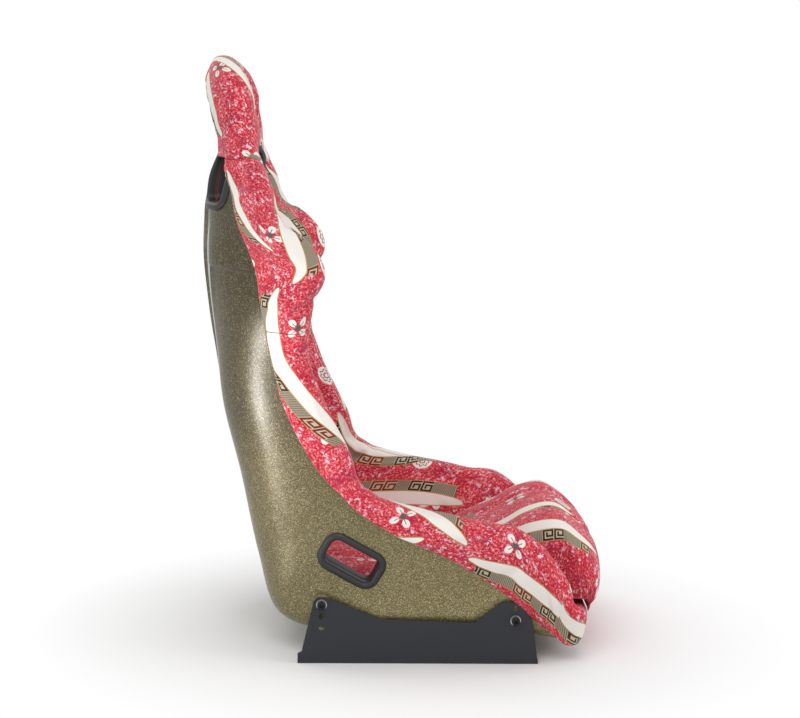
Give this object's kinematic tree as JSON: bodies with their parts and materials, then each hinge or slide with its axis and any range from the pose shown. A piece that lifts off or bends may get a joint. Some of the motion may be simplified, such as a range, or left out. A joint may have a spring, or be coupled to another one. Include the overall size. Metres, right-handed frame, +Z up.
{
  "type": "fixed-back bucket racing seat",
  "caption": "Fixed-back bucket racing seat: moulded shell, wrapped bolsters, loose cushion, four harness slots and a strap slot, on bolted steel side mounts.",
  "frame": {"origin": "on the floor, midway between the side mounts and midway between their bolts", "axes": "+X forward, +Y to the sitter's left, +Z up"},
  "size_m": [0.6151, 0.5292, 0.8948],
  "materials": {
    "gelcoat": "metal-flake gelcoat",
    "seat_fabric": "woven jacquard, patterned",
    "trim": "moulded, satin black",
    "powder_coat": "powder coated charcoal",
    "zinc_steel": "zinc plated",
    "black_screw": "black oxide",
    "tape": "hook and loop tape"
  },
  "bodies": {
    "root": {"shell": "gelcoat", "headrest_pad": "seat_fabric", "backrest_pad": "seat_fabric", "shoulder_bolster_left": "seat_fabric", "shoulder_bolster_right": "seat_fabric", "thigh_bolster_left": "seat_fabric", "thigh_bolster_right": "seat_fabric", "front_lip_pad": "seat_fabric", "seat_cushion": "seat_fabric", "shoulder_slot_bezel_left": "trim", "shoulder_slot_bezel_right": "trim", "shoulder_slot_collar_left": "trim", "shoulder_slot_collar_right": "trim", "lap_slot_bezel_left": "trim", "lap_slot_bezel_right": "trim", "lap_slot_collar_left": "trim", "lap_slot_collar_right": "trim", "crotch_slot_bezel": "trim", "mount_plate_left": "zinc_steel", "mount_plate_right": "zinc_steel", "threaded_inserts": "zinc_steel", "side_bracket_left": "powder_coat", "side_bracket_right": "powder_coat", "mounting_bolts": "black_screw", "bolt_washers": "zinc_steel", "hook_strips": "tape", "loop_strips": "tape"}
  },
  "joints": []
}
